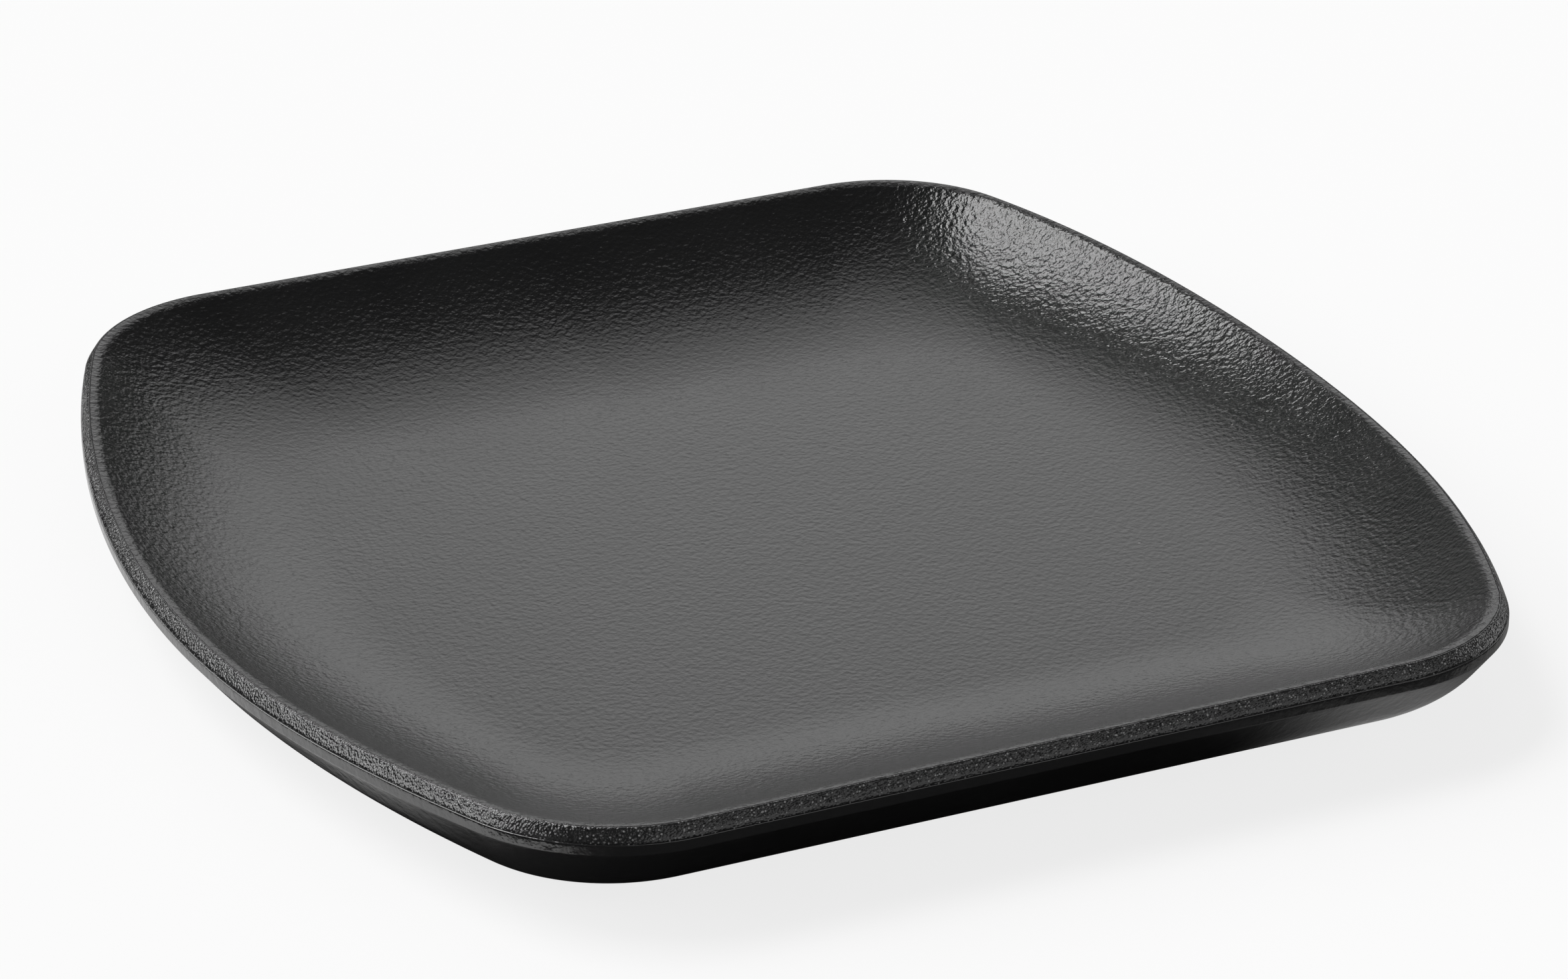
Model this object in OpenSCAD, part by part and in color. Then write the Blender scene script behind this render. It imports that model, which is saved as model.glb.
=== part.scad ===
// A squarish dished plate with two straight sides and two bowed sides.
// The bowed sides face +X and -X, the straight ones +Y and -Y, and it stands on Z = 0.
// One section is lofted round the rim: flat floor, curved inner wall, crest, sloping
// lip, upright band, leaning flank and rounded heel. The rim dips in the middle of the
// bowed sides. The fired body lies one coat deep under the finished section.

/* [Plan] */
// Width across the two bowed sides
plate_w = 255; // [235:1:290]
// Depth across the two straight sides
plate_d = 260; // [240:1:300]
// Radius of the bowed sides
bow_r = 275; // [250:1:400]
// Radius of the four corners of the rim
corner_r = 36; // [32:1:48]

/* [Rim] */
// Height of the crest above the table at the corners and the straight sides
rim_h = 22; // [21:0.5:26]
// How much lower the crest runs at the middle of a bowed side
rim_dip = 4.2; // [0:0.2:5]
// Width of the lip, from its crest out to the widest edge
lip_w = 2; // [2:0.1:3]
// Drop of the lip, from its crest to the widest edge
lip_drop = 2.5; // [2:0.1:3.5]
// Radius that rounds the crest
crest_r = 1; // [0.6:0.1:1.8]
// Radius that rounds the widest edge
lip_r = 0.8; // [0.5:0.1:1.1]
// Height of the upright band under the widest edge
band_h = 2.3; // [1:0.1:3]

/* [Walls] */
// How far the walls run on the straight sides, as a share of their run on the bowed sides
straight_share = 1.3; // [1:0.05:1.4]

/* [Well] */
// Run of the curved inner wall of a bowed side, from the crest to the flat floor
well_run = 43; // [36:1:52]
// Depth of the floor below the crest
well_depth = 16; // [12:0.5:17]
// Radius of the corners of the flat floor
floor_corner_r = 26; // [14:1:34]

/* [Underside] */
// Slope of the flank of a bowed side from level, in degrees
flank_slope = 59; // [52:1:66]
// Radius of the heel, where the flank turns under the plate
heel_r = 20; // [14:0.5:24]
// Radius of the corners of the flat underside
base_corner_r = 22; // [18:1:28]
// Inset of the foot from the widest edge of a bowed side
foot_inset = 27; // [26:1:32]
// Radius of the corners of the foot
foot_corner_r = 18; // [10:1:22]
// Width of the foot
foot_w = 5; // [3:0.5:7]
// Height of the foot
foot_h = 1.6; // [1:0.1:2.5]

/* [Coats] */
// Thickness of the coats on the body
coat_t = 0.4; // [0.3:0.05:0.6]

/* [Hidden] */

// Steps along a quarter of the plan: bowed side, corner, straight side
bow_steps = 8;
corner_steps = 8;
flat_steps = 3;
// Steps along the arcs of the section
well_steps = 9;
crest_steps = 3;
edge_steps = 2;
heel_steps = 4;

half_w = plate_w / 2;
half_d = plate_d / 2;
bow_x = half_w - bow_r;
base_drop = rim_h - foot_h;

// Section centres on a bowed side, as [inset from the widest edge, height from the crest]
floor_inset = lip_w + well_run;
well_r = (well_run * well_run + well_depth * well_depth) / (2 * well_depth) - crest_r;
well_c = [floor_inset, well_r - well_depth];
crest_c = [lip_w, -crest_r];
edge_c = [lip_r, -lip_drop];
heel_up = base_drop - heel_r * (1 - cos(flank_slope));
flank_run = (heel_up - lip_drop - band_h) / tan(flank_slope);
base_inset = flank_run + heel_r * sin(flank_slope);
heel_c = [base_inset, heel_r - base_drop];

// Directions of the section, in degrees
wall_slope = atan2(well_run, well_r + crest_r - well_depth);
bevel = crest_c - edge_c;
bevel_dir = atan2(bevel[1], bevel[0]) + acos((lip_r - crest_r) / norm(bevel));

function arc(c, r, from, to, steps, first = 1) =
    [for (i = [first:steps]) let (a = from + (to - from) * i / steps) c + r * [cos(a), sin(a)]];

// The finished section, from the edge of the floor up over the crest and down to the base
well_part = arc(well_c, well_r, 270, 270 - wall_slope, well_steps, 0);
crest_part = concat(
    arc(crest_c, crest_r, 90 - wall_slope, 90, crest_steps),
    arc(crest_c, crest_r, 90, bevel_dir, crest_steps));
edge_part = arc(edge_c, lip_r, bevel_dir, 180, edge_steps, 0);
wall_part = concat(
    [[0, -lip_drop - band_h]],
    arc(heel_c, heel_r, 270 - flank_slope, 270, heel_steps, 0));
section = concat(well_part, crest_part, edge_part, wall_part);
lip_start = len(well_part) + crest_steps - 1;
lip_end = len(well_part) + len(crest_part) + len(edge_part) - 1;
section_end = len(section) - 1;

// The same section one coat deep
function along(k) = section[min(k + 1, section_end)] - section[max(k - 1, 0)];
function inward(k) = let (d = along(k)) [-d[1], d[0]] / norm(d);
under_section = [for (k = [0:section_end])
    k == 0 ? section[k] - [0, coat_t] :
    k == section_end ? section[k] + [0, coat_t] :
    section[k] + coat_t * inward(k)];

// How much of the rim's dip each point of the section takes, from all to none
function dip_share(k) =
    k <= lip_start ? 1 + section[k][1] / well_depth :
    k <= lip_end + 1 ? 1 :
    1 - (section[lip_end + 1][1] - section[k][1]) / (base_drop - lip_drop - band_h);

// The plan with its insets from a bowed and a straight side and its own corner radius:
// one quarter, then all round
function corner_c(inset, set_back, r) =
    let (y = half_d - set_back - r, reach = bow_r - inset - r)
    [bow_x + sqrt(reach * reach - y * y), y];
function quarter(inset, set_back, r) =
    let (c = corner_c(inset, set_back, r), turn = atan2(c[1], c[0] - bow_x))
    concat(
        arc([bow_x, 0], bow_r - inset, 0, turn, bow_steps, 0),
        arc(c, r, turn, 90, corner_steps),
        [for (i = [1:flat_steps - 1]) [c[0] * (1 - i / flat_steps), half_d - set_back]]);
function outline(inset, set_back, r) =
    let (q = quarter(inset, set_back, r), last = len(q) - 1, top = [0, half_d - set_back])
    concat(q, [top], [for (i = [last:-1:1]) [-q[i][0], q[i][1]]],
        [for (p = q) -p], [-top], [for (i = [last:-1:1]) [q[i][0], -q[i][1]]]);

rim_plan = outline(0, 0, corner_r);
crest_plan = outline(lip_w, lip_w, corner_r - lip_w);
floor_plan = outline(floor_inset, lip_w + well_run * straight_share, floor_corner_r);
base_plan = outline(base_inset, base_inset * straight_share, base_corner_r);
foot_back = foot_inset * straight_share;
foot_plan = outline(foot_inset, foot_back, foot_corner_r);
foot_hole = outline(foot_inset + foot_w, foot_back + foot_w, foot_corner_r - foot_w);
sides = len(rim_plan);

// Lowering of the crest at a point of the rim
function dip(p) =
    let (u = p[0] / half_w, v = p[1] / half_d) rim_dip * (1 - v * v) * (1 - v * v) * abs(u);
rim_dips = [for (p = rim_plan) dip(p)];

// A ring of the loft through point k of a section: the lip keeps its width all round,
// the inner wall runs on to the plan of the floor and the outer wall to that of the base
function between(a, b, share) = [for (i = [0:sides - 1]) a[i] + (b[i] - a[i]) * share];
function ring_plan(t, k) =
    k <= lip_end && t < lip_w ? between(rim_plan, crest_plan, t / lip_w) :
    k <= lip_start ? between(crest_plan, floor_plan, (t - lip_w) / well_run) :
    between(rim_plan, base_plan, t / base_inset);
function ring(points, k) =
    let (plan = ring_plan(points[k][0], k))
    [for (i = [0:sides - 1])
        [plan[i][0], plan[i][1], rim_h + points[k][1] - rim_dips[i] * dip_share(k)]];
function rings(points, from, to) = [for (k = [from:(to < from ? -1 : 1):to]) ring(points, k)];
function level(plan, z) = [for (p = plan) [p[0], p[1], z]];

// Triangles between the rings of a loft, each ring run anticlockwise from above
function band_faces(a, b) = [for (i = [0:sides - 1], half = [0, 1])
    let (j = (i + 1) % sides)
    half == 0 ? [a * sides + i, a * sides + j, b * sides + j] :
    [a * sides + i, b * sides + j, b * sides + i]];

// A closed skin whose last ring joins its first
module skin(loft) {
    count = len(loft);
    polyhedron(
        points = [for (r = loft, p = r) p],
        faces = [for (k = [0:count - 1], f = band_faces(k, (k + 1) % count)) f]);
}

// A solid between a first and a last ring that are each closed with a level cap
module capped(loft) {
    last = len(loft) - 1;
    mids = [for (r = [loft[0], loft[last]]) [0, 0, r[0][2]]];
    mid = (last + 1) * sides;
    polyhedron(
        points = concat([for (r = loft, p = r) p], mids),
        faces = concat(
            [for (k = [0:last - 1], f = band_faces(k, k + 1)) f],
            [for (i = [0:sides - 1]) [mid, (i + 1) % sides, i]],
            [for (i = [0:sides - 1]) [mid + 1, last * sides + i, last * sides + (i + 1) % sides]]));
}

// Fired body, one coat deep under the finished section all round
module clay_body() {
    color([0.16, 0.155, 0.15])
        capped(rings(under_section, 0, section_end));
}

// Satin coat over the floor, the inner wall and the crest
module well_glaze() {
    color([0.11, 0.11, 0.11])
        capped(concat(rings(section, 0, lip_start), rings(under_section, lip_start, 0)));
}

// Grainy coat on the lip, from the crest to the widest edge
module lip_glaze() {
    color([0.2, 0.2, 0.2])
        skin(concat(rings(section, lip_start, lip_end), rings(under_section, lip_end, lip_start)));
}

// Coat on the band, the flank and the heel, in under the plate as far as the foot
module wall_glaze() {
    color([0.07, 0.07, 0.07])
        skin(concat(
            rings(section, lip_end, section_end), [level(foot_plan, foot_h)],
            [level(foot_plan, foot_h + coat_t)], rings(under_section, section_end, lip_end)));
}

// Coat on the underside, inside the foot
module base_glaze() {
    color([0.07, 0.07, 0.07])
        translate([0, 0, foot_h])
            linear_extrude(coat_t)
                polygon(foot_hole);
}

// Bare ground foot that the plate stands on
module foot_ring() {
    color([0.24, 0.23, 0.22])
        linear_extrude(foot_h + coat_t)
            difference() {
                polygon(foot_plan);
                polygon(foot_hole);
            }
}

clay_body();
well_glaze();
lip_glaze();
wall_glaze();
base_glaze();
foot_ring();
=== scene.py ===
import bpy
import math
import numpy as np
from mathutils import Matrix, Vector


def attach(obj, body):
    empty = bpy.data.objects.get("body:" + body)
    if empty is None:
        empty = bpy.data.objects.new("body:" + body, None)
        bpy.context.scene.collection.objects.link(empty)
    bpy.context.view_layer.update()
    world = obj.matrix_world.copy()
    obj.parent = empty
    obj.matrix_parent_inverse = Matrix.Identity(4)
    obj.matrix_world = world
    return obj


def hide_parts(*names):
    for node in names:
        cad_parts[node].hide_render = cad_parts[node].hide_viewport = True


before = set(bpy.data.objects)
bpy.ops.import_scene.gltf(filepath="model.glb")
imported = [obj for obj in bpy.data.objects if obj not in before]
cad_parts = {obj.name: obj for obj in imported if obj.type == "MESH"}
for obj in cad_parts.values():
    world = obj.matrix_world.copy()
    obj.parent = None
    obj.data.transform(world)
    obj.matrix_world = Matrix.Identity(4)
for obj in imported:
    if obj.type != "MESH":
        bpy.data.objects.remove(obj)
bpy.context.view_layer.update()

scene = bpy.context.scene
print("plate: frame loaded")

# Lengths are in metres and slopes in degrees. The bowed sides face X, the straight sides face Y.
plate = {
    "width": 0.255,
    "depth": 0.260,
    "bowRadius": 0.275,
    "cornerRadius": 0.036,
    "rimHeight": 0.022,
    "rimDip": 0.0042,           # how far the rim sinks at the middle of a bowed side
    "straightShare": 1.3,       # the outer wall and the foot lie this much further in on the straight sides
    "coat": 0.0004,
}
well = {
    "inset": 0.045,             # from the bowed rim to the flat floor
    "setBack": 0.0579,          # from the straight rim to the flat floor
    "depth": 0.016,
    "cornerRadius": 0.026,
}
lip = {
    "crestInset": 0.00187,
    "rollRadius": 0.0035,       # rolls the inner wall over into the crest
    "crestRadius": 0.0005,      # outer edge of the crest
    "drop": 0.0032,
    "edgeRadius": 0.0025,       # rounds the widest edge
}
wall = {
    "bandHeight": 0.0016,
    "bandRadius": 0.0006,       # softens the turn from the band to the flank
    "slope": 59.0,
    "heelRadius": 0.020,
    "cornerRadius": 0.022,
}
foot = {
    "inset": 0.027,
    "cornerRadius": 0.018,
    "width": 0.005,
    "height": 0.0016,
    "worn": 0.0004,             # radius of its two worn edges
}

# Steps along a quarter of the rim, along the section and across the floor.
# The lip's coat stops "short" steps above the widest edge.
steps = {"bow": 44, "corner": 36, "flat": 24,
         "well": 44, "crest": 10, "bevel": 5, "edge": 8, "short": 3,
         "band": 3, "turn": 4, "flank": 8, "heel": 18, "floor": 10}

halfWidth = plate["width"] / 2
halfDepth = plate["depth"] / 2
bowCentre = halfWidth - plate["bowRadius"]


def outline(insetX, insetY, radius):
    # one quarter is bowed side, corner, straight side, and the rest mirrors it
    y = halfDepth - insetY - radius
    reach = plate["bowRadius"] - insetX - radius
    x = bowCentre + math.sqrt(reach * reach - y * y)
    turn = math.atan2(y, x - bowCentre)
    bow = turn * np.arange(steps["bow"]) / steps["bow"]
    side = plate["bowRadius"] - insetX
    corner = turn + (math.pi / 2 - turn) * np.arange(steps["corner"]) / steps["corner"]
    flat = 1 - np.arange(steps["flat"]) / steps["flat"]
    quarter = np.concatenate([
        np.stack([bowCentre + side * np.cos(bow), side * np.sin(bow)], 1),
        np.stack([x + radius * np.cos(corner), y + radius * np.sin(corner)], 1),
        np.stack([x * flat, np.full(len(flat), halfDepth - insetY)], 1)])
    top = [[0, halfDepth - insetY]]
    upper = np.concatenate([quarter, top, quarter[:0:-1] * [-1, 1]])
    return np.concatenate([upper, -upper])


def arcPoints(centre, radius, start, end, count, first=1):
    angles = np.radians(start + (end - start) * np.arange(first, count + 1) / count)
    return np.stack([centre[0] + radius * np.cos(angles), centre[1] + radius * np.sin(angles)], 1)


def linePoints(start, end, count):
    share = (np.arange(1, count + 1) / count)[:, None]
    return np.array(start) * (1 - share) + np.array(end) * share


# the section runs from the edge of the floor over the crest and down to the base;
# a point is (inset from the widest edge, height from the crest)
crestInset = lip["crestInset"]
rollRadius = lip["rollRadius"]
crestRadius = lip["crestRadius"]
edgeRadius = lip["edgeRadius"]
wellRun = well["inset"] - crestInset
wellRadius = (wellRun ** 2 + well["depth"] ** 2) / (2 * well["depth"]) - rollRadius
wellCentre = (well["inset"], wellRadius - well["depth"])
wallSlope = math.degrees(math.atan2(wellRun, wellRadius + rollRadius - well["depth"]))
crestCentre = (crestInset, -crestRadius)
edgeCentre = (edgeRadius, -lip["drop"])
away = (crestCentre[0] - edgeCentre[0], crestCentre[1] - edgeCentre[1])
bevel = math.degrees(math.atan2(away[1], away[0])
                     + math.acos((edgeRadius - crestRadius) / math.hypot(*away)))
slope = wall["slope"]
heelRadius = wall["heelRadius"]
baseDrop = plate["rimHeight"] - foot["height"]
bandEnd = lip["drop"] + wall["bandHeight"]
heelTop = baseDrop - heelRadius * (1 - math.cos(math.radians(slope)))
baseInset = ((heelTop - bandEnd) / math.tan(math.radians(slope))
             + heelRadius * math.sin(math.radians(slope)))
bandRadius = wall["bandRadius"]
tuck = bandRadius * math.tan(math.radians((90 - slope) / 2))

wellPart = arcPoints(wellCentre, wellRadius, 270, 270 - wallSlope, steps["well"], 0)
crestPart = np.concatenate([
    arcPoints((crestInset, -rollRadius), rollRadius, 90 - wallSlope, 90, steps["crest"]),
    arcPoints(crestCentre, crestRadius, 90, bevel, steps["crest"])])
edgePart = arcPoints(edgeCentre, edgeRadius, bevel, 180, steps["edge"], 0)
bevelPart = linePoints(crestPart[-1], edgePart[0], steps["bevel"])
bandPart = linePoints((0, -lip["drop"]), (0, -bandEnd + tuck), steps["band"])
turnPart = arcPoints((bandRadius, -bandEnd + tuck), bandRadius, 180, 270 - slope, steps["turn"])
heelPart = arcPoints((baseInset, heelRadius - baseDrop), heelRadius, 270 - slope, 270, steps["heel"], 0)
flankPart = linePoints(turnPart[-1], heelPart[0], steps["flank"])
section = np.concatenate([wellPart, crestPart, bevelPart, edgePart[1:], bandPart, turnPart,
                          flankPart, heelPart[1:]])

# places along the section: the crest, the end of the lip's coat, the widest edge, the band's end
crestTop = len(wellPart) + steps["crest"] - 1
widest = len(wellPart) + len(crestPart) + len(bevelPart) + len(edgePart) - 2
lipEnd = widest - steps["short"]
bandLast = widest + len(bandPart)
sectionLast = len(section) - 1
print("plate: section of", len(section), "points")


def unit(vectors):
    return vectors / (np.linalg.norm(vectors, axis=-1, keepdims=True) + 1e-12)


def smoothTangents(points, wrap=False):
    # tangents along the first axis that allow for uneven spacing
    ahead = np.roll(points, -1, 0) - points
    behind = points - np.roll(points, 1, 0)
    if not wrap:
        ahead[-1] = behind[-1]
        behind[0] = ahead[0]
    a = np.linalg.norm(ahead, axis=-1, keepdims=True) + 1e-12
    b = np.linalg.norm(behind, axis=-1, keepdims=True) + 1e-12
    return unit(ahead / a * b / (a + b) + behind / b * a / (a + b))


along = smoothTangents(section)
along[0] = (-1, 0)
along[-1] = (1, 0)
underSection = section + plate["coat"] * np.stack([-along[:, 1], along[:, 0]], 1)

rimPlan = outline(0, 0, plate["cornerRadius"])
crestPlan = outline(crestInset, crestInset, plate["cornerRadius"] - crestInset)
floorPlan = outline(well["inset"], well["setBack"], well["cornerRadius"])
basePlan = outline(baseInset, baseInset * plate["straightShare"], wall["cornerRadius"])
u, v = rimPlan[:, 0] / halfWidth, rimPlan[:, 1] / halfDepth
rimDips = plate["rimDip"] * (1 - v * v) ** 2 * np.abs(u)


def levelRing(plan, z):
    return np.concatenate([plan, np.broadcast_to(z, len(plan))[:, None]], 1)


def ringAt(points, k):
    # the lip keeps its width all round, the two walls run on to the floor and the base
    inset, height = points[k]
    if k <= widest and inset < crestInset:
        plan = rimPlan + (crestPlan - rimPlan) * inset / crestInset
    elif k <= crestTop:
        plan = crestPlan + (floorPlan - crestPlan) * (inset - crestInset) / wellRun
    else:
        plan = rimPlan + (basePlan - rimPlan) * inset / baseInset
    # the rim's dip fades out towards the floor and towards the base
    level = section[k][1]
    bandLevel = section[bandLast][1]
    if k <= crestTop:
        share = 1 + level / well["depth"]
    elif k <= bandLast:
        share = 1
    else:
        share = 1 - (bandLevel - level) / (bandLevel + baseDrop)
    return levelRing(plan, plate["rimHeight"] + height - rimDips * share)


def gridNormals(grid):
    across = smoothTangents(grid)
    around = np.swapaxes(smoothTangents(np.swapaxes(grid, 0, 1), wrap=True), 0, 1)
    return unit(np.cross(across, around))


def levelNormals(rings, up):
    return np.tile([0.0, 0.0, up], rings.shape[:2] + (1,))


finished = np.array([ringAt(section, k) for k in range(len(section))])
under = np.array([ringAt(underSection, k) for k in range(len(section))])
finishedNormals = gridNormals(finished)
finishedNormals[0] = (0, 0, 1)
finishedNormals[-1] = (0, 0, -1)
underNormals = -gridNormals(under)

# length along the section down from the crest, and the share of the way down the lip
sectionRun = np.concatenate([[0], np.cumsum(np.linalg.norm(np.diff(section, axis=0), axis=1))])
sectionRun -= sectionRun[crestTop]
lipShare = np.clip(sectionRun / sectionRun[lipEnd], 0, 1)


def span(start, end, inner=False):
    # rings of the section from one place to another, with their normals, lengths and lip shares
    turn = 1 if end >= start else -1
    order = np.arange(start, end + turn, turn)
    rings, normals = (under, underNormals) if inner else (finished, finishedNormals)
    return rings[order], normals[order], sectionRun[order], lipShare[order]


def loftMesh(name, groups, caps=False):
    # groups of rings with their normals; the shading is smooth inside a group and sharp between
    rings = np.concatenate([group[0] for group in groups])
    normals = np.concatenate([group[1] for group in groups])
    owner = np.concatenate([np.full(len(group[0]), i) for i, group in enumerate(groups)])
    count, sides = rings.shape[:2]
    points = rings.reshape(-1, 3)
    i = np.arange(sides)
    j = (i + 1) % sides
    faces, corners = [], []
    for k in range(count - 1 if caps else count):
        n = (k + 1) % count
        quad = np.stack([k * sides + i, n * sides + i, n * sides + j, k * sides + j], 1)
        if owner[k] == owner[n] and (n > k or len(groups) == 1):
            normal = np.stack([normals[k][i], normals[n][i], normals[n][j], normals[k][j]], 1)
        else:
            flat = np.cross(points[quad[:, 2]] - points[quad[:, 0]], points[quad[:, 3]] - points[quad[:, 1]])
            normal = np.repeat(unit(flat)[:, None], 4, 1)
        faces += quad.tolist()
        corners.append(normal.reshape(-1, 3))
    if caps:
        end = (count - 1) * sides
        points = np.concatenate([points, [rings[0].mean(0), rings[-1].mean(0)]])
        for tri in (np.stack([np.full(sides, count * sides), i, j], 1),
                    np.stack([np.full(sides, count * sides + 1), end + j, end + i], 1)):
            flat = np.cross(points[tri[:, 1]] - points[tri[:, 0]], points[tri[:, 2]] - points[tri[:, 0]])
            faces += tri.tolist()
            corners.append(np.repeat(unit(flat)[:, None], 3, 1).reshape(-1, 3))
    mesh = bpy.data.meshes.new(name)
    mesh.from_pydata(points.tolist(), [], faces)
    mesh.update()
    mesh.normals_split_custom_set(np.concatenate(corners).tolist())
    piece = bpy.data.objects.new(name, mesh)
    scene.collection.objects.link(piece)
    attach(piece, "root")
    return piece


def addAttributes(piece, lengths, shares, caps=False):
    # "rimRun" winds the rim's length round a cylinder and has the section's length as its Z,
    # "lipShare" is the way down the lip
    gaps = np.linalg.norm(np.roll(rimPlan, -1, 0) - rimPlan, axis=1)
    radius = gaps.sum() / (2 * math.pi)
    angles = np.concatenate([[0], np.cumsum(gaps)[:-1]]) / radius
    wound = radius * np.stack([np.cos(angles), np.sin(angles)], 1)
    runs = np.concatenate([levelRing(wound, length) for length in lengths])
    values = np.repeat(shares, len(rimPlan))
    if caps:
        runs = np.concatenate([runs, np.zeros((2, 3))])
        values = np.concatenate([values, [0, 0]])
    attributes = piece.data.attributes
    attributes.new("rimRun", "FLOAT_VECTOR", "POINT").data.foreach_set("vector", runs.ravel())
    attributes.new("lipShare", "FLOAT", "POINT").data.foreach_set("value", values.ravel())


# well coat: floor, inner wall and crest
floorLevel = plate["rimHeight"] - well["depth"]
ringGap = 0.004     # length given to each step past an end of the section
floorShares = np.linspace(0.04, 1, steps["floor"] + 1)[:-1]
floorRings = np.array([levelRing(floorPlan * share, floorLevel) for share in floorShares])
outer, inner = span(0, crestTop), span(crestTop, 0, inner=True)
inner[0][-1][:, 2] = floorLevel - plate["coat"]
wellPiece = loftMesh("well_coat_piece", [
    (np.concatenate([floorRings, outer[0]]), np.concatenate([levelNormals(floorRings, 1), outer[1]])),
    inner[:2]], caps=True)
floorRuns = sectionRun[0] - ringGap * np.arange(steps["floor"], 0, -1)
wellRuns = np.concatenate([floorRuns, outer[2], inner[2]])
addAttributes(wellPiece, wellRuns, np.zeros(len(wellRuns)), caps=True)
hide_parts("well_glaze")

# lip coat: from the crest down towards the widest edge
outer, inner = span(crestTop, lipEnd), span(lipEnd, crestTop, inner=True)
lipPiece = loftMesh("lip_coat_piece", [outer[:2], inner[:2]])
addAttributes(lipPiece, np.concatenate([outer[2], inner[2]]), np.concatenate([outer[3], inner[3]]))
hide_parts("lip_glaze")


# wall coat: band, flank, heel and the underside as far as the foot
def footPlanAt(inset):
    return outline(foot["inset"] + inset, foot["inset"] * plate["straightShare"] + inset,
                   foot["cornerRadius"] - inset)


footTop = foot["height"] + plate["coat"]
outer, inner = span(lipEnd, sectionLast), span(sectionLast, lipEnd, inner=True)
footOuter = np.array([levelRing(footPlanAt(0), foot["height"])])
footInner = np.array([levelRing(footPlanAt(0), footTop)])
wallPiece = loftMesh("wall_coat_piece", [
    (np.concatenate([outer[0], footOuter]), np.concatenate([outer[1], levelNormals(footOuter, -1)])),
    (np.concatenate([footInner, inner[0]]), np.concatenate([levelNormals(footInner, 1), inner[1]]))])
footRun = sectionRun[-1] + ringGap
wallRuns = np.concatenate([outer[2], [footRun, footRun], inner[2]])
addAttributes(wallPiece, wallRuns, np.ones(len(wallRuns)))
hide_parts("wall_glaze")

# foot: a ground ring with its two edges worn round
footWaist = foot["height"] * 0.6
wornArc = [(foot["worn"] * (1 - math.cos(a)), foot["worn"] * (1 - math.sin(a))) for a in np.radians([30, 60, 90])]
profile = [(0, footTop), (0, footWaist), (0, foot["worn"])] + wornArc
profile += [(foot["width"] - inset, z) for inset, z in reversed(profile)]
footRings = np.array([levelRing(footPlanAt(inset), z) for inset, z in profile])
footPiece = loftMesh("foot_ring_piece", [(footRings, gridNormals(footRings))])
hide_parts("foot_ring")

# base coat: the thin coat inside the foot
footHole = footPlanAt(foot["width"])
upper = np.array([levelRing(footHole * share, footTop) for share in (0.5, 1)])
lower = np.array([levelRing(footHole * share, foot["height"]) for share in np.linspace(1, 0.05, 9)])
basePiece = loftMesh("base_coat_piece", [
    (upper, levelNormals(upper, 1)), (lower, levelNormals(lower, -1))], caps=True)
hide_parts("base_glaze")
print("plate: pieces lofted")


# node helpers: a number or colour goes on the socket itself, anything else is linked to it
def newGroup(name, inputs, outputs):
    tree = bpy.data.node_groups.new(name, "ShaderNodeTree")
    for label, kind, value in inputs:
        socket = tree.interface.new_socket(name=label, in_out="INPUT", socket_type=kind)
        if value is not None:
            socket.default_value = value
    for label in outputs:
        tree.interface.new_socket(name=label, in_out="OUTPUT", socket_type="NodeSocketFloat")
    return tree, tree.nodes.new("NodeGroupInput"), tree.nodes.new("NodeGroupOutput")


def newNode(tree, kind, values=None, links=None, **props):
    node = tree.nodes.new(kind)
    for key, value in props.items():
        setattr(node, key, value)
    for key, value in (values or {}).items():
        node.inputs[key].default_value = value
    for key, source in (links or {}).items():
        tree.links.new(source, node.inputs[key])
    return node


def mathNode(tree, operation, *items):
    node = newNode(tree, "ShaderNodeMath", operation=operation)
    for index, item in enumerate(items):
        if isinstance(item, (int, float)):
            node.inputs[index].default_value = item
        else:
            tree.links.new(item, node.inputs[index])
    return node.outputs[0]


def softStep(tree, source, low, high, toLow=0.0, toHigh=1.0):
    node = newNode(tree, "ShaderNodeMapRange", {1: low, 2: high, 3: toLow, 4: toHigh}, {0: source},
                   interpolation_type="SMOOTHSTEP")
    return node.outputs[0]


def colourMix(tree, factor, first, second):
    node = newNode(tree, "ShaderNodeMix", None, {0: factor}, data_type="RGBA")
    for index, item in ((6, first), (7, second)):
        if isinstance(item, tuple):
            node.inputs[index].default_value = (*item, 1)
        else:
            tree.links.new(item, node.inputs[index])
    return node.outputs[2]


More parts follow.
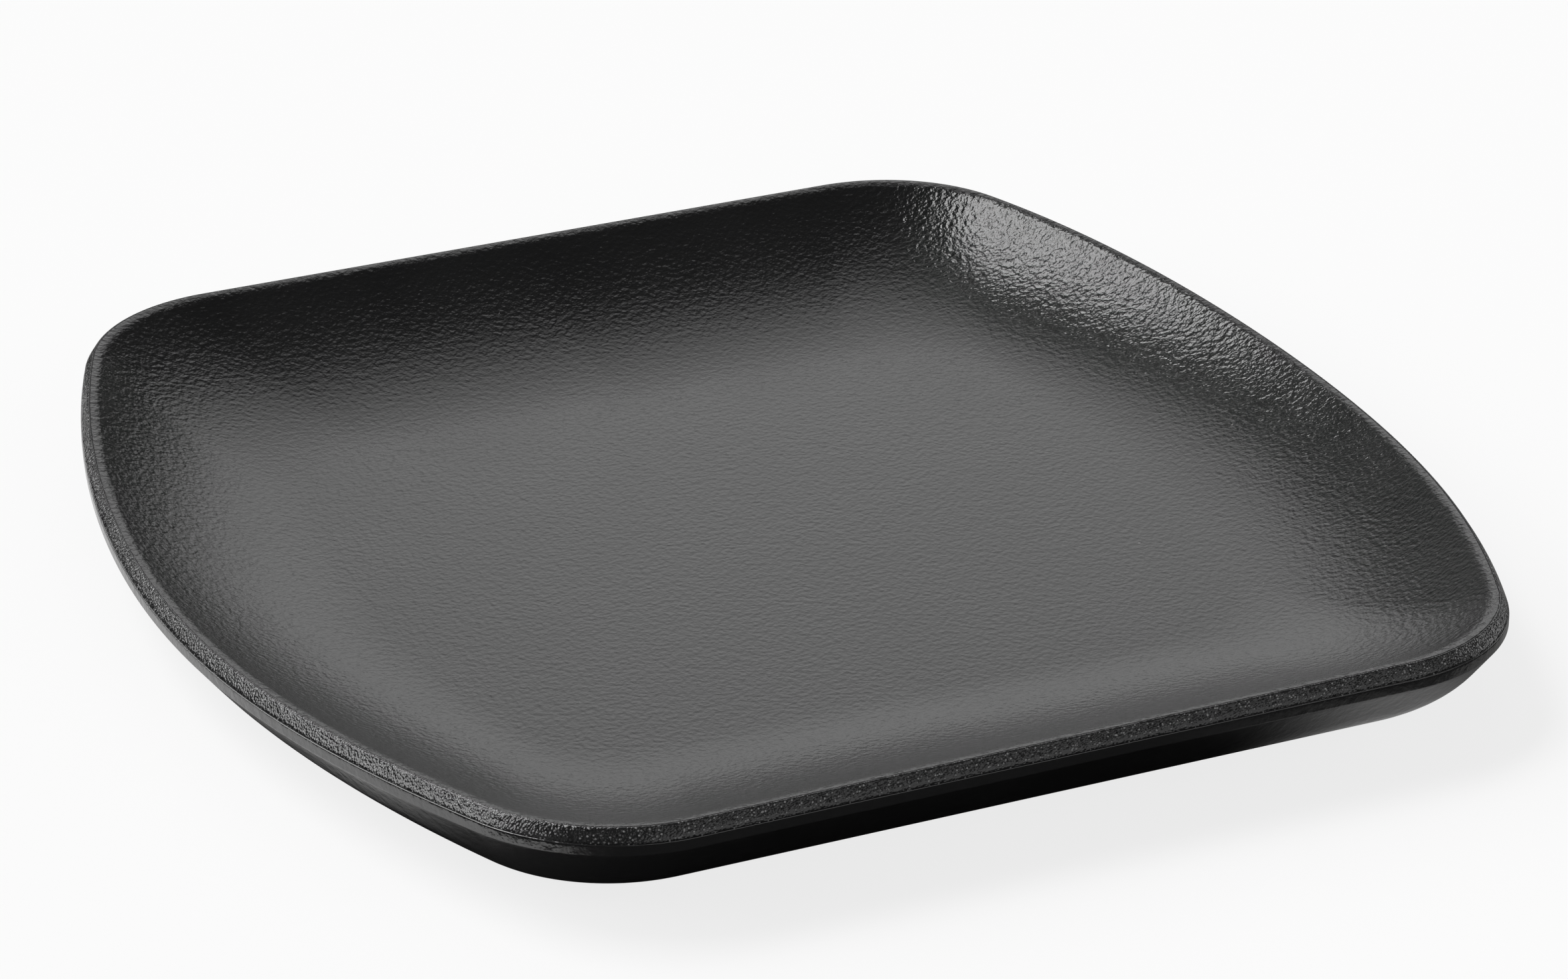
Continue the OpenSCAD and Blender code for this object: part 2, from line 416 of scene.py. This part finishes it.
# orange peel of a satin glaze: rounded lumps, faint clouds and a few specks of dust
def buildGlazePeel():
    tree, inside, out = newGroup(
        "glazePeel",
        [("Vector", "NodeSocketVector", None), ("Lump Scale", "NodeSocketFloat", 620.0),
         ("Grain Scale", "NodeSocketFloat", 2200.0), ("Grain Share", "NodeSocketFloat", 0.2)],
        ["Height", "Cloud", "Speck"])
    vector, lumpScale = inside.outputs["Vector"], inside.outputs["Lump Scale"]
    waves = newNode(tree, "ShaderNodeTexNoise", {"Detail": 1.5, "Roughness": 0.5},
                    {"Vector": vector, "Scale": lumpScale})
    pebbles = newNode(tree, "ShaderNodeTexVoronoi", {"Smoothness": 0.6},
                      {"Vector": vector, "Scale": lumpScale}, feature="SMOOTH_F1")
    lumps = mathNode(tree, "ADD", waves.outputs["Fac"],
                     mathNode(tree, "MULTIPLY", pebbles.outputs["Distance"], -0.35))
    grain = newNode(tree, "ShaderNodeTexNoise", {"Detail": 1.0, "Roughness": 0.5},
                    {"Vector": vector, "Scale": inside.outputs["Grain Scale"]})
    mixed = newNode(tree, "ShaderNodeMix", None,
                    {0: inside.outputs["Grain Share"], 2: lumps, 3: grain.outputs["Fac"]}, data_type="FLOAT")
    tree.links.new(mixed.outputs[0], out.inputs["Height"])
    cloud = newNode(tree, "ShaderNodeTexNoise", {"Scale": 34.0, "Detail": 3.0, "Roughness": 0.55},
                    {"Vector": vector})
    tree.links.new(softStep(tree, cloud.outputs["Fac"], 0.3, 0.7), out.inputs["Cloud"])
    # a speck sits in the middle of about one cell in forty
    cells = newNode(tree, "ShaderNodeTexVoronoi", {"Scale": 150.0}, {"Vector": vector})
    chance = newNode(tree, "ShaderNodeSeparateColor", None, {0: cells.outputs["Color"]})
    rare = softStep(tree, chance.outputs[0], 0.965, 0.985)
    dot = softStep(tree, cells.outputs["Distance"], 0.05, 0.02)
    tree.links.new(mathNode(tree, "MULTIPLY", rare, dot), out.inputs["Speck"])
    return tree


# sand-like grain of the lip with painted glints on some grains, both fainter at the crest and towards the widest
# edge
def buildLipGrain():
    tree, inside, out = newGroup(
        "lipGrain",
        [("Vector", "NodeSocketVector", None), ("Share", "NodeSocketFloat", 1.0)],
        ["Height", "Painted Glint"])
    vector, share = inside.outputs["Vector"], inside.outputs["Share"]
    grains = newNode(tree, "ShaderNodeTexVoronoi", {"Scale": 2100.0}, {"Vector": vector})
    soft = newNode(tree, "ShaderNodeTexNoise", {"Scale": 1100.0, "Detail": 2.0, "Roughness": 0.6},
                   {"Vector": vector})
    total = mathNode(tree, "ADD", mathNode(tree, "MULTIPLY", grains.outputs["Distance"], -0.8),
                     soft.outputs["Fac"])
    strength = mathNode(tree, "MULTIPLY", softStep(tree, share, 0.0, 0.07, 0.4, 1.0),
                        softStep(tree, share, 0.5, 0.85, 1.0, 0.5))
    tree.links.new(mathNode(tree, "MULTIPLY", total, strength), out.inputs["Height"])
    # painted glints: a light colour in the middle of some grains
    glintPick = newNode(tree, "ShaderNodeSeparateColor", None, {0: grains.outputs["Color"]})
    paintedGlint = mathNode(tree, "MULTIPLY", softStep(tree, glintPick.outputs[1], 0.62, 0.95),
                     softStep(tree, grains.outputs["Distance"], 0.55, 0.2))
    tree.links.new(mathNode(tree, "MULTIPLY", paintedGlint, strength), out.inputs["Painted Glint"])
    return tree


glazePeel = buildGlazePeel()
lipGrain = buildLipGrain()


def startMaterial(name, ior):
    material = bpy.data.materials.new(name)
    material.use_nodes = True
    tree = material.node_tree
    shader = tree.nodes["Principled BSDF"]
    shader.inputs["IOR"].default_value = ior
    return material, tree, shader


def finishShader(tree, shader, colour, rough, relief, bumpHeight):
    bump = newNode(tree, "ShaderNodeBump", {"Strength": 1.0, "Distance": bumpHeight}, {"Height": relief})
    tree.links.new(colour, shader.inputs["Base Color"])
    tree.links.new(rough, shader.inputs["Roughness"])
    tree.links.new(bump.outputs[0], shader.inputs["Normal"])


def peelNode(tree, look, vector):
    scales = {key: look[key] for key in ("Lump Scale", "Grain Scale", "Grain Share")}
    return newNode(tree, "ShaderNodeGroup", scales, {"Vector": vector}, node_tree=glazePeel)


# a glaze: "rise" makes the relief grow with the height, "dust" is the colour of its specks
wellLook = {"Lump Scale": 880.0, "Grain Scale": 2600.0, "Grain Share": 0.2,
            "dark": (0.003, 0.003, 0.0032), "light": (0.005, 0.005, 0.0052),
            "dust": (0.3, 0.3, 0.29), "speck": 0.5,
            "rough": (0.17, 0.2), "bump": 0.00022, "ior": 1.5, "rise": (0.006, 0.016, 0.7, 1.2)}
wallLook = {"Lump Scale": 520.0, "Grain Scale": 2000.0, "Grain Share": 0.25,
            "dark": (0.003, 0.003, 0.0032), "light": (0.005, 0.005, 0.0052),
            "dust": (0.3, 0.3, 0.29), "speck": 0.3,
            "rough": (0.14, 0.18), "bump": 0.00016, "ior": 1.95}
baseLook = {"Lump Scale": 700.0, "Grain Scale": 2400.0, "Grain Share": 0.3,
            "dark": (0.006, 0.006, 0.0062), "light": (0.01, 0.01, 0.0102),
            "dust": (0.3, 0.3, 0.29), "speck": 0.3,
            "rough": (0.32, 0.4), "bump": 0.0001, "ior": 1.5}


def peelMaterial(name, look, alongRim=False):
    material, tree, shader = startMaterial(name, look["ior"])
    if alongRim:
        vector = newNode(tree, "ShaderNodeAttribute", attribute_name="rimRun").outputs["Vector"]
    else:
        vector = newNode(tree, "ShaderNodeTexCoord").outputs["Object"]
    peel = peelNode(tree, look, vector)
    cloud, relief = peel.outputs["Cloud"], peel.outputs["Height"]
    dusted = colourMix(tree, mathNode(tree, "MULTIPLY", peel.outputs["Speck"], look["speck"]),
                       colourMix(tree, cloud, look["dark"], look["light"]), look["dust"])
    if "rise" in look:
        level = newNode(tree, "ShaderNodeSeparateXYZ", None, {0: vector}).outputs["Z"]
        relief = mathNode(tree, "MULTIPLY", relief, softStep(tree, level, *look["rise"]))
    finishShader(tree, shader, dusted, softStep(tree, cloud, 0, 1, *look["rough"]), relief, look["bump"])
    return material


wellGlaze = peelMaterial("satin well glaze", wellLook)
wallGlaze = peelMaterial("outer wall glaze", wallLook, alongRim=True)
baseGlaze = peelMaterial("underside glaze", baseLook)

lipLook = {"dark": (0.005, 0.005, 0.0052), "paintedGlint": (0.26, 0.26, 0.26), "rough": (0.19, 0.15),
           "bump": 0.00015, "ior": 1.6}


def lipMaterial(look):
    material, tree, shader = startMaterial("grainy lip glaze", look["ior"])
    vector = newNode(tree, "ShaderNodeTexCoord").outputs["Object"]
    share = newNode(tree, "ShaderNodeAttribute", attribute_name="lipShare").outputs["Fac"]
    grain = newNode(tree, "ShaderNodeGroup", None, {"Vector": vector, "Share": share}, node_tree=lipGrain)
    # the lip's colour is dark with painted glints on its grains; the grain's relief is a bump
    finishShader(tree, shader, colourMix(tree, grain.outputs["Painted Glint"], look["dark"], look["paintedGlint"]),
                 softStep(tree, share, 0.2, 0.8, *look["rough"]), grain.outputs["Height"], look["bump"])
    return material


lipGlaze = lipMaterial(lipLook)

clayLook = {"Lump Scale": 1600.0, "Grain Scale": 5200.0, "Grain Share": 0.5,
            "dark": (0.035, 0.032, 0.03), "light": (0.06, 0.056, 0.052),
            "rough": (0.75, 0.9), "bump": 0.0001, "ior": 1.45}
groundLook = {"Lump Scale": 1600.0, "Grain Scale": 5200.0, "Grain Share": 0.5,
              "dark": (0.06, 0.055, 0.05), "light": (0.12, 0.112, 0.104),
              "rough": (0.7, 0.9), "bump": 0.00008, "ior": 1.45}


def clayMaterial(name, look):
    material, tree, shader = startMaterial(name, look["ior"])
    peel = peelNode(tree, look, newNode(tree, "ShaderNodeTexCoord").outputs["Object"])
    relief = peel.outputs["Height"]
    finishShader(tree, shader, colourMix(tree, peel.outputs["Cloud"], look["dark"], look["light"]),
                 softStep(tree, relief, 0.3, 0.7, *look["rough"]), relief, look["bump"])
    return material


bareClay = clayMaterial("bare fired clay", clayLook)
groundClay = clayMaterial("ground clay of the foot", groundLook)

for piece, material in ((wellPiece, wellGlaze), (lipPiece, lipGlaze), (wallPiece, wallGlaze),
                        (footPiece, groundClay), (basePiece, baseGlaze)):
    piece.data.materials.append(material)
    for face in piece.data.polygons:
        face.use_smooth = True
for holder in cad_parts["clay_body"].material_slots:
    holder.material = bareClay
print("plate: materials set")

# Floor: pale, takes the plate's shadow and reads as white to the camera. What the glaze mirrors of it is
# painted light and painted shade: painted light close round the plate, partly glowing for glossy rays, and
# painted shade under the overhang, in front and further out. Pairs are where a zone starts and ends, in X, in Y
# or as the distance outside the outline.
floorLook = {
    "size": 4.0,
    "colour": (0.82, 0.82, 0.82),
    "whiteShare": 0.8,
    # what glossy rays see of the floor: the next colour is painted light in the lit zones, the dark colour is
    # painted shade elsewhere
    "paintedLightColour": (0.9, 0.89, 0.87),
    "dark": (0.05, 0.05, 0.05),
    # painted light lies behind, left of and right of the plate; painted shade lies under the overhang except on
    # the right, past the far edge, far right and in front
    "behind": (-0.10, -0.06),       # Y
    "leftOf": (-0.14, -0.10),       # X
    "rightOf": (0.03, 0.085),       # X
    "overhang": (-0.009, 0.006),    # distance
    "underRight": (0.035, 0.075),   # X
    "farEdge": (0.029, 0.042),      # distance
    "farRight": (0.078, 0.105),     # X
    "farRightLeast": 0.25,
    "inFront": (-0.155, -0.135),    # Y
    "inFrontLeast": 0.1,
    "across": (-0.10, 0.05),        # X
    # how strongly the lit zones glow for glossy rays on the left and on the right: a painted reflection
    "paintedGlowLeft": 0.9,
    "paintedGlowRight": 0.3,
}


def buildFloor(look):
    mesh = bpy.data.meshes.new("studio_floor")
    s = look["size"]
    mesh.from_pydata([(-s, -s, 0), (s, -s, 0), (s, s, 0), (-s, s, 0)], [], [(0, 1, 2, 3)])
    floor = bpy.data.objects.new("studio_floor", mesh)
    scene.collection.objects.link(floor)
    material = bpy.data.materials.new("pale studio floor")
    material.use_nodes = True
    tree = material.node_tree
    tree.nodes.clear()
    out = newNode(tree, "ShaderNodeOutputMaterial")
    rays = newNode(tree, "ShaderNodeLightPath")
    glossyRay = rays.outputs["Is Glossy Ray"]
    place = newNode(tree, "ShaderNodeTexCoord").outputs["Object"]
    parts = newNode(tree, "ShaderNodeSeparateXYZ", None, {0: place})
    x, y = parts.outputs["X"], parts.outputs["Y"]

    def distanceFrom(centreX):
        moved = newNode(tree, "ShaderNodeVectorMath", {1: (-centreX, 0, 0)}, {0: place}, operation="ADD")
        return newNode(tree, "ShaderNodeVectorMath", None, {0: moved.outputs[0]},
                       operation="LENGTH").outputs["Value"]

    # how far a spot lies outside the outline of the plate
    bowed = mathNode(tree, "SUBTRACT",
                     mathNode(tree, "MAXIMUM", distanceFrom(-bowCentre), distanceFrom(bowCentre)),
                     plate["bowRadius"])
    straight = mathNode(tree, "SUBTRACT", mathNode(tree, "ABSOLUTE", y), halfDepth)
    outside = mathNode(tree, "MAXIMUM", bowed, straight)

    # painted light: the lit zones that glossy rays see behind and beside the plate
    paintedLightZone = mathNode(tree, "MAXIMUM",
                   mathNode(tree, "MAXIMUM", softStep(tree, y, *look["behind"]),
                            softStep(tree, x, *look["leftOf"], 1.0, 0.0)),
                   softStep(tree, x, *look["rightOf"]))
    # painted shade under the overhang except under the right side, then painted shade past the far edge, far
    # right and in front
    clear = mathNode(tree, "MAXIMUM", softStep(tree, outside, *look["overhang"]),
                     softStep(tree, x, *look["underRight"]))
    for mask in (clear, softStep(tree, outside, *look["farEdge"], 1.0, 0.0),
                 softStep(tree, x, *look["farRight"], 1.0, look["farRightLeast"]),
                 softStep(tree, y, *look["inFront"], look["inFrontLeast"], 1.0)):
        paintedLightZone = mathNode(tree, "MULTIPLY", paintedLightZone, mask)

    # glossy rays see the painted light and painted shade colours, the camera and other rays the floor's own
    # colour
    shown = colourMix(tree, glossyRay, look["colour"],
                      colourMix(tree, paintedLightZone, look["dark"], look["paintedLightColour"]))
    matt = newNode(tree, "ShaderNodeBsdfDiffuse", None, {"Color": shown})
    white = newNode(tree, "ShaderNodeEmission", {"Color": (1, 1, 1, 1), "Strength": 1.0})
    # the lit zones also glow for glossy rays, more on the left: a painted reflection of bright floor
    paintedGlowShare = softStep(tree, x, *look["across"], look["paintedGlowLeft"], look["paintedGlowRight"])
    share = mathNode(tree, "ADD",
                     mathNode(tree, "MULTIPLY", rays.outputs["Is Camera Ray"], look["whiteShare"]),
                     mathNode(tree, "MULTIPLY", glossyRay, mathNode(tree, "MULTIPLY", paintedLightZone, paintedGlowShare)))
    mix = newNode(tree, "ShaderNodeMixShader", None, {0: share, 1: matt.outputs[0], 2: white.outputs[0]})
    tree.links.new(mix.outputs[0], out.inputs[0])
    mesh.materials.append(material)


buildFloor(floorLook)


# light: a dim room with soft panels, each given by its direction and half sizes
def buildPanelMask():
    tree, inside, out = newGroup(
        "softPanel",
        [("Vector", "NodeSocketVector", None), ("Centre", "NodeSocketVector", None),
         ("Right", "NodeSocketVector", None), ("Up", "NodeSocketVector", None),
         ("Half Width", "NodeSocketFloat", 0.3), ("Half Height", "NodeSocketFloat", 0.3),
         ("Squareness", "NodeSocketFloat", 2.0), ("Soft", "NodeSocketFloat", 0.2)],
        ["Mask"])

    def dot(name):
        return newNode(tree, "ShaderNodeVectorMath", None,
                       {0: inside.outputs["Vector"], 1: inside.outputs[name]},
                       operation="DOT_PRODUCT").outputs["Value"]

    power = inside.outputs["Squareness"]
    depth = dot("Centre")
    safe = mathNode(tree, "MAXIMUM", depth, 0.001)
    parts = []
    for name, size in (("Right", "Half Width"), ("Up", "Half Height")):
        place = mathNode(tree, "ABSOLUTE", mathNode(tree, "DIVIDE", dot(name), safe))
        parts.append(mathNode(tree, "POWER", mathNode(tree, "DIVIDE", place, inside.outputs[size]), power))
    distance = mathNode(tree, "POWER", mathNode(tree, "ADD", *parts), mathNode(tree, "DIVIDE", 1.0, power))
    outer = mathNode(tree, "ADD", inside.outputs["Soft"], 1.0)
    inner = mathNode(tree, "SUBTRACT", 1.0, inside.outputs["Soft"])
    fade = newNode(tree, "ShaderNodeMapRange", {3: 0.0, 4: 1.0}, {0: distance, 1: outer, 2: inner},
                   interpolation_type="SMOOTHSTEP")
    ahead = softStep(tree, depth, 0.0, 0.05)
    tree.links.new(mathNode(tree, "MULTIPLY", fade.outputs[0], ahead), out.inputs["Mask"])
    return tree


panelMask = buildPanelMask()

# azimuth from +Y towards +X and elevation in degrees, half sizes as tangents, softness as a share
panels = {
    "backdrop": {"azimuth": 27, "elevation": 31, "half": (0.24, 0.45), "square": 2.2, "soft": 0.6, "light": 0.95},
    "glow": {"azimuth": 10, "elevation": 16, "half": (0.30, 0.28), "square": 2.0, "soft": 0.9, "light": 0.3},
    "key": {"azimuth": -42, "elevation": 57, "half": (0.358, 0.178), "square": 6.0, "soft": 0.1, "light": 8.3},
    "side": {"azimuth": -102, "elevation": 24, "half": (0.5, 0.35), "square": 2.5, "soft": 0.4, "light": 0.2},
    "left": {"azimuth": -56, "elevation": 26, "half": (0.62, 0.26), "square": 3.0, "soft": 0.16, "light": 4.0},
    "front": {"azimuth": 155, "elevation": 29, "half": (0.8, 0.26), "square": 2.0, "soft": 0.4, "light": 0.7},
    "right": {"azimuth": 80, "elevation": 8, "half": (0.5, 0.18), "square": 2.0, "soft": 0.4, "light": 1.6},
}
room = {"low": 0.07, "high": 0.145}     # from the horizon up to nearly overhead


def buildWorld():
    world = bpy.data.worlds.new("studio")
    scene.world = world
    world.use_nodes = True
    tree = world.node_tree
    tree.nodes.clear()
    out = newNode(tree, "ShaderNodeOutputWorld")
    vector = newNode(tree, "ShaderNodeTexCoord").outputs["Generated"]
    height = newNode(tree, "ShaderNodeSeparateXYZ", None, {0: vector}).outputs["Z"]
    total = softStep(tree, height, 0.0, 0.9, room["low"], room["high"])
    for name, look in panels.items():
        az, el = math.radians(look["azimuth"]), math.radians(look["elevation"])
        centre = Vector((math.sin(az) * math.cos(el), math.cos(az) * math.cos(el), math.sin(el)))
        right = Vector((math.cos(az), -math.sin(az), 0))
        panel = newNode(tree, "ShaderNodeGroup", None, {"Vector": vector}, node_tree=panelMask, label=name)
        for key, value in (("Centre", centre), ("Right", right), ("Up", right.cross(centre)),
                           ("Half Width", look["half"][0]), ("Half Height", look["half"][1]),
                           ("Squareness", look["square"]), ("Soft", look["soft"])):
            panel.inputs[key].default_value = value
        total = mathNode(tree, "ADD", total, mathNode(tree, "MULTIPLY", panel.outputs["Mask"], look["light"]))
    soft = newNode(tree, "ShaderNodeBackground", {"Color": (1, 1, 1, 1)}, {"Strength": total})
    white = newNode(tree, "ShaderNodeBackground", {"Color": (1, 1, 1, 1), "Strength": 1.0})
    rays = newNode(tree, "ShaderNodeLightPath")
    mix = newNode(tree, "ShaderNodeMixShader", None,
                  {0: rays.outputs["Is Camera Ray"], 1: soft.outputs[0], 2: white.outputs[0]})
    tree.links.new(mix.outputs[0], out.inputs[0])


buildWorld()
print("plate: floor and light set")

# camera at the photograph's angle, looking at the target from the side named "back"
cameraLook = {"target": (-0.00139, -0.01142, 0.022), "back": (-0.3782, -0.8220, 0.4258),
              "distance": 1.155, "lens": 135.1, "sensor": 36.0, "clipEnd": 20.0}


def buildCamera(look):
    data = bpy.data.cameras.new("photo_camera")
    data.sensor_width = look["sensor"]
    data.lens = look["lens"]
    data.clip_end = look["clipEnd"]
    camera = bpy.data.objects.new("photo_camera", data)
    scene.collection.objects.link(camera)
    back = Vector(look["back"]).normalized()
    camera.location = Vector(look["target"]) + back * look["distance"]
    camera.rotation_euler = (-back).to_track_quat("-Z", "Y").to_euler()
    scene.camera = camera


buildCamera(cameraLook)
scene.view_settings.view_transform = "Standard"
